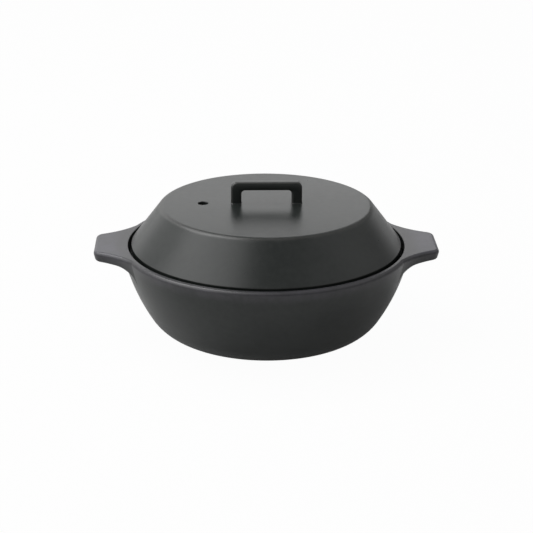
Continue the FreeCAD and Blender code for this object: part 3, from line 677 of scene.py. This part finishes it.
class CLAYPOT_OT_ears(Operator):
    """Build the two ears that run out of the rim"""

    bl_idname = "claypot.ears"
    bl_label = "Ears"

    def execute(self, context):
        pot = settings()
        underside, inside = ear_underside(pot.bowl, pot.ear)
        plan = ear_plan(pot.bowl, pot.ear)
        loops = [ear_section(pot.bowl, pot.ear, *spot, underside, inside) for spot in plan]
        glaze = glaze_material("ear_glaze", pot.glaze, pot.bowl, pot.lid.seat)
        for side, sign in (("right", 1), ("left", -1)):
            mirrored = [[Vector((sign * point.x, point.y, point.z)) for point in loop] for loop in loops]
            add_piece(side + "_handle_ear", skinned(mirrored, ear_wear()), "pot", side + "_ear", glaze)
        return {"FINISHED"}


VENT_MARGIN = 8.0 * MM
VENT_SIDES = 40
VENT_SPAN = 5
VENT_STEP = math.radians(15.0)
VENT_WEAR = 0.6
SAME_RING = 1e-7
CREASE_MARGIN = 6.0 * MM
CEILING_STEPS = (5, 3)
TOP_STEPS = (4, 6)
RING_TOP_ROUND = 1.5 * MM
RING_INNER_ROUND = 0.6 * MM


def crown_edge(lid, edge):
    """Return where the crowned top meets the conical side, before they are rounded."""
    up = lid.top - lid.crown
    return Vector((lid.radius - (up - edge) / math.tan(lid.slope), up))


def crown_radius(lid, edge):
    """Return the radius of the ball that the crowned top is a part of."""
    return (crown_edge(lid, edge).x ** 2 + lid.crown ** 2) / (2 * lid.crown)


def crown_height(lid, radius, distance, inset=0.0):
    """Return the height of the crowned top, or of the ceiling under it, by distance from the axis."""
    return lid.top - radius + math.sqrt((radius - inset) ** 2 - distance ** 2)


def lid_outline(lid, edge, seat_draft):
    """Return the section of the lid, from the ceiling round the edge to the top, and the crown's radius."""
    corner = crown_edge(lid, edge)
    crown = crown_radius(lid, edge)
    tilt = math.asin(corner.x / crown)
    inward = on_circle((0, 0), 1, -math.pi / 2 - (lid.slope + tilt) / 2)
    under = corner + inward * lid.thickness / math.cos((lid.slope - tilt) / 2)
    ring_inner = lid.radius - lid.ring_width
    ring_outer = lid.radius - (edge - lid.seat) * math.tan(seat_draft)
    ring_top = under.y - (ring_inner - under.x) * math.tan(lid.slope)
    near = lid.vent_offset - VENT_MARGIN
    far = lid.vent_offset + VENT_MARGIN
    inner, outer = CEILING_STEPS
    reaches = [*spread(0.0, near, inner), *spread(far, under.x - CREASE_MARGIN, outer)]
    ceiling = [(reach, crown_height(lid, crown, reach, lid.thickness), 0.0) for reach in reaches]
    outer, inner = TOP_STEPS
    reaches = [*spread(corner.x - CREASE_MARGIN, far, outer), *spread(near, 0.0, inner)]
    top = [(reach, crown_height(lid, crown, reach), 0.0) for reach in reaches]
    outline = trace([
        *ceiling,
        (*under, lid.under_crease),
        (ring_inner, ring_top, RING_TOP_ROUND),
        (ring_inner, lid.seat, RING_INNER_ROUND),
        (ring_outer, lid.seat, lid.ring_round),
        (lid.radius, edge, lid.edge_round),
        (*corner, lid.crease),
        *top,
    ])
    return outline, crown


def open_patch(shape, rings, low, segments):
    """Take out the faces between two rings around the vent and return the edges left open."""
    middle = segments // 2
    patch = []
    for k in range(middle - VENT_SPAN, middle + VENT_SPAN):
        corners = (rings[low][k], rings[low][k + 1], rings[low + 1][k + 1], rings[low + 1][k])
        patch.append(shape.faces.get(corners))
    uses = collections.Counter(edge for face in patch for edge in face.edges)
    rim = [edge for edge, count in uses.items() if count == 1]
    bmesh.ops.delete(shape, geom=patch, context="FACES_KEEP_BOUNDARY")
    return rim


def pierce_vent(shape, rings, points, lid, crown, segments):
    """Cut the steam vent through the lid's top, with rounded edges."""
    edge = shape.verts.layers.float["edge"]
    bore = lid.vent_width / 2
    rounding = lid.vent_round
    upper = arc((bore + rounding, -rounding), rounding, math.pi / 2, math.pi, VENT_STEP)
    lower = arc((bore + rounding, rounding), rounding, math.pi, 1.5 * math.pi, VENT_STEP)
    level = Vector((bore + rounding + HOLD, 0.0))
    outline = [(spot, 0.0) for spot in (level, *upper)]
    outline += [(spot, lid.thickness) for spot in (*lower, level)]
    loops = []
    for (across, up), inset in outline:
        loop = []
        for k in range(VENT_SIDES):
            spot = on_circle((-lid.vent_offset, 0), across, 2 * math.pi * k / VENT_SIDES)
            height = crown_height(lid, crown, spot.length, inset) + up
            loop.append(shape.verts.new((*spot, height)))
            loop[-1][edge] = VENT_WEAR if bore < across < bore + rounding else 0.0
        loops.append(loop)
    for above, below in zip(loops, loops[1:]):
        for k in range(VENT_SIDES):
            after = (k + 1) % VENT_SIDES
            shape.faces.new((above[k], above[after], below[after], below[k]))
    near = lid.vent_offset - VENT_MARGIN
    beside = [k for k, point in enumerate(points) if abs(point[0] - near) < SAME_RING]
    for loop, low in ((loops[0], beside[-1] - 1), (loops[-1], beside[0])):
        rim = open_patch(shape, rings, low, segments)
        hole = [shape.edges.get((loop[k], loop[(k + 1) % VENT_SIDES])) for k in range(VENT_SIDES)]
        bmesh.ops.triangle_fill(shape, use_beauty=True, edges=rim + hole)


class CLAYPOT_OT_lid(Operator):
    """Turn the lid and pierce its steam vent"""

    bl_idname = "claypot.lid"
    bl_label = "Lid"

    def execute(self, context):
        pot = settings()
        edge = pot.bowl.rim_height + pot.lid.edge_rise
        points, crown = lid_outline(pot.lid, edge, pot.bowl.draft)
        shape, rings = turned(points, pot.segments)
        pierce_vent(shape, rings, points, pot.lid, crown, pot.segments)
        add_piece("lid", shape, "lid", "lid_shell", glaze_material("lid_glaze", pot.glaze))
        return {"FINISHED"}


FOOT_MARGIN = 4
FOOT_DROP = 1 / 8
FOOT_ROOT = 0.4 * MM
FOOT_STEPS = 5
LEG_START = 4.0 * MM
LEG_STEPS = 3
BEND_STEP = math.radians(10.0)
BAR_PARTS = (0.04, 0.5, 1.0)
SECTION_STEP = math.radians(15.0)


def handle_foot(handle, lid, edge):
    """Return the level of the handle's feet, a little under the crowned top of the lid."""
    margin = FOOT_MARGIN * handle.foot_cove
    corner = Vector((handle.reach + margin, handle.depth / 2 + margin))
    fall = corner.length_squared / (2 * crown_radius(lid, edge))
    return lid.top - fall - handle.foot_cove * FOOT_DROP


def handle_path(handle, foot):
    """Return the handle's outer and inner lines from the front, as pairs of points."""
    gap = handle.reach - handle.leg
    under = handle.top - handle.bar
    corner = (handle.corner - handle.reach, handle.top - handle.corner)
    arch = (handle.arch - gap, under - handle.arch)
    cove = handle.foot_cove
    pairs = []
    levels = [foot - FOOT_ROOT, *spread(foot, foot + cove, FOOT_STEPS)]
    for up in [*levels, foot + cove + HOLD, foot + LEG_START]:
        pairs.append((Vector((-handle.reach, up)), Vector((-gap, up))))
    outer = [Vector((-handle.reach, up)) for up in spread(arch[1], corner[1], LEG_STEPS)]
    outer += arc(corner, handle.corner, math.pi, math.pi / 2, BEND_STEP)[1:]
    inner = arc(arch, handle.arch, math.pi, math.pi / 2, math.radians(90 / (len(outer) - 1)))
    pairs += list(zip(outer, inner))
    middle = (Vector((0, handle.top)), Vector((0, under)))
    for part in BAR_PARTS:
        pairs.append((outer[-1].lerp(middle[0], part), inner[-1].lerp(middle[1], part)))
    flip = Vector((-1, 1))
    return pairs + [(first * flip, second * flip) for first, second in reversed(pairs[:-1])]


def handle_section(handle, outer, inner, foot):
    """Return one rounded section of the handle as a loop, wider where a leg meets the lid."""
    rise = min(handle.foot_cove, max(0.0, outer.y - foot))
    slack = handle.foot_cove - rise
    swell = handle.foot_cove - math.sqrt(handle.foot_cove ** 2 - slack ** 2)
    height = (outer - inner).length + 2 * swell
    depth = handle.depth + 2 * swell
    rounding = handle.edge_round + swell
    along = (outer - inner).normalized()
    base = inner - along * swell
    loop = []
    for turn in range(4):
        across = depth / 2 - rounding if turn in (0, 3) else rounding - depth / 2
        up = height - rounding if turn < 2 else rounding
        start = turn * math.pi / 2
        for spot in arc((across, up), rounding, start, start + math.pi / 2, SECTION_STEP):
            flat = base + along * spot.y
            loop.append(Vector((flat.x, -spot.x, flat.y)))
    return loop


class CLAYPOT_OT_handle(Operator):
    """Build the bridge handle on the lid"""

    bl_idname = "claypot.handle"
    bl_label = "Handle"

    def execute(self, context):
        pot = settings()
        foot = handle_foot(pot.handle, pot.lid, pot.bowl.rim_height + pot.lid.edge_rise)
        loops = [handle_section(pot.handle, *pair, foot) for pair in handle_path(pot.handle, foot)]
        steps = len(loops[0]) // 4
        wear = [math.sin(math.pi * k / (steps - 1)) for k in range(steps)] * 4
        material = glaze_material("handle_glaze", pot.glaze)
        add_piece("bridge", skinned(loops, wear), "lid", "lid_handle", material)
        return {"FINISHED"}


# Stage

WHITE = (1.0, 1.0, 1.0, 1.0)

# Where the light of each part of the room starts and is full, along one axis of the direction
LEFT_SPREAD = (0.0, 0.9)
CORNER_SPREAD = (0.3, 0.9)
CORNER_DEPTH = (-0.2, 0.5)
BACKDROP_DEPTH = (0.3, 0.95)
BACKDROP_TOP = (0.08, 0.3)
CEILING_RISE = (0.3, 0.85)
SIDES_RISE = (0.05, 0.6)

FLOOR_RADIUS = 6.0
FLOOR_SIDES = 96
FLOOR_GAP = 0.1 * MM
SENSOR_WIDTH = 36.0

# Each lamp: setting of its power, place, point it faces, width and height
LAMPS = {
    "key_lamp": ("key_power", (-1.19, -0.54, 1.4), (0.21, -0.24, 0.28), 1.75, 2.3),
    "back_lamp": ("back_power", (-0.35, 1.55, 0.755), (0, 0, 0.1), 1.8, 0.6),
    "top_lamp": ("top_power", (-0.72, 0.32, 1.4), (0, 0, 0.08), 0.9, 0.9),
}


def whiteness(wire, in_gloss):
    """Return how white the surroundings are to a ray: to the camera, through glass and in gloss."""
    path = wire.node("ShaderNodeLightPath")
    rays = {socket.name: Wire(wire.tree, socket) for socket in path.socket.node.outputs}
    direct = rays["Is Camera Ray"].largest(rays["Is Transmission Ray"])
    return direct.largest(rays["Is Glossy Ray"] * in_gloss)


def add_floor(studio):
    """Lay a pale floor that looks white and keeps a faint shadow."""
    material = bpy.data.materials.new("pale_floor")
    wire = new_tree(material)
    paint = wire.node("ShaderNodeBsdfDiffuse", (), {"Color": (*[studio.floor_tone] * 3, 1.0)})
    glow = wire.node("ShaderNodeEmission", (), {"Color": WHITE, "Strength": 1.0})
    white = whiteness(wire, studio.glossy_white) * studio.floor_glow
    surface = wire.node("ShaderNodeMixShader", (), {0: white, 1: paint, 2: glow})
    wire.node("ShaderNodeOutputMaterial", (), {"Surface": surface})
    shape = bmesh.new()
    bmesh.ops.create_circle(shape, cap_ends=True, segments=FLOOR_SIDES, radius=FLOOR_RADIUS)
    mesh = bpy.data.meshes.new("floor")
    shape.to_mesh(mesh)
    shape.free()
    mesh.materials.append(material)
    floor = bpy.data.objects.new("floor", mesh)
    floor.location.z = -FLOOR_GAP
    bpy.context.scene.collection.objects.link(floor)


def add_lamp(name, power, place, aim, width, height):
    """Hang a soft lamp that faces a point."""
    data = bpy.data.lights.new(name, "AREA")
    data.shape = "RECTANGLE"
    data.size = width
    data.size_y = height
    data.energy = power
    lamp = bpy.data.objects.new(name, data)
    lamp.location = place
    lamp.rotation_euler = (Vector(aim) - Vector(place)).to_track_quat("-Z", "Y").to_euler()
    bpy.context.scene.collection.objects.link(lamp)


def add_world(studio):
    """Surround the scene with a room that looks white and lights it from above, behind and both sides."""
    world = bpy.data.worlds.new("white_room")
    bpy.context.scene.world = world
    wire = new_tree(world)
    white = whiteness(wire, studio.glossy_white)
    towards = wire.node("ShaderNodeTexCoord")
    right, back, up = (wire.node("ShaderNodeSeparateXYZ", (), {0: towards}, axis) for axis in range(3))
    left = -1.0 * right
    room = studio.walls + left.ramp(*LEFT_SPREAD) * studio.left_wall
    room = room + left.ramp(*CORNER_SPREAD) * back.ramp(*CORNER_DEPTH) * studio.left_corner
    room = room + back.ramp(*BACKDROP_DEPTH) * (1.0 - up.ramp(*BACKDROP_TOP)) * studio.backdrop
    room = room + up.ramp(*CEILING_RISE) * studio.ceiling
    room = room + up.ramp(*SIDES_RISE) * studio.sides * right * right
    strength = white + (1.0 - white) * room
    sky = wire.node("ShaderNodeBackground", (), {"Color": WHITE, "Strength": strength})
    wire.node("ShaderNodeOutputWorld", (), {"Surface": sky})


def add_camera(studio):
    """Set up the camera in front of the pot, a little above it."""
    data = bpy.data.cameras.new("camera")
    data.lens = studio.lens
    data.sensor_width = SENSOR_WIDTH
    data.shift_x, data.shift_y = studio.shift
    camera = bpy.data.objects.new("camera", data)
    look = Euler((math.pi / 2 - studio.elevation, 0.0, studio.turn)).to_matrix()
    look = look @ Matrix.Rotation(studio.roll, 3, "Z")
    camera.matrix_world = look.to_4x4()
    camera.location = Vector((0, 0, studio.aim_height)) + look @ Vector((0, 0, studio.distance))
    bpy.context.scene.collection.objects.link(camera)
    bpy.context.scene.camera = camera


class CLAYPOT_OT_studio(Operator):
    """Set up the floor, the lamps, the white surroundings and the camera"""

    bl_idname = "claypot.studio"
    bl_label = "Studio"

    def execute(self, context):
        studio = settings().studio
        add_floor(studio)
        add_world(studio)
        for name, (power, *fitting) in LAMPS.items():
            add_lamp(name, getattr(studio, power), *fitting)
        add_camera(studio)
        context.scene.view_settings.view_transform = "Standard"
        return {"FINISHED"}


class CLAYPOT_PT_panel(Panel):
    """Settings and steps of the clay pot"""

    bl_idname = "CLAYPOT_PT_panel"
    bl_label = "Clay Pot"
    bl_space_type = "VIEW_3D"
    bl_region_type = "UI"
    bl_category = "Clay Pot"

    def draw(self, context):
        pot = context.scene.clay_pot
        for operator in STEPS:
            self.layout.operator(operator.bl_idname)
        self.layout.prop(pot, "segments")
        for group in (pot.bowl, pot.ear, pot.lid, pot.handle, pot.glaze, pot.studio):
            box = self.layout.box()
            for name in group.bl_rna.properties.keys():
                if name not in ("rna_type", "name"):
                    box.prop(group, name)


GROUPS = (BowlSizes, EarSizes, LidSizes, HandleSizes, GlazeLooks, StudioLooks, ClayPotSettings)
STEPS = (CLAYPOT_OT_bowl, CLAYPOT_OT_ears, CLAYPOT_OT_lid, CLAYPOT_OT_handle, CLAYPOT_OT_studio)


def register():
    """Add the classes and the scene's settings."""
    for item in (*GROUPS, *STEPS, CLAYPOT_PT_panel):
        bpy.utils.register_class(item)
    bpy.types.Scene.clay_pot = PointerProperty(type=ClayPotSettings)


def unregister():
    """Remove the scene's settings and the classes."""
    del bpy.types.Scene.clay_pot
    for item in reversed((*GROUPS, *STEPS, CLAYPOT_PT_panel)):
        bpy.utils.unregister_class(item)


def main():
    """Build every piece and the studio."""
    register()
    bpy.ops.claypot.bowl()
    bpy.ops.claypot.ears()
    bpy.ops.claypot.lid()
    bpy.ops.claypot.handle()
    bpy.ops.claypot.studio()


if __name__ == "__main__":
    main()
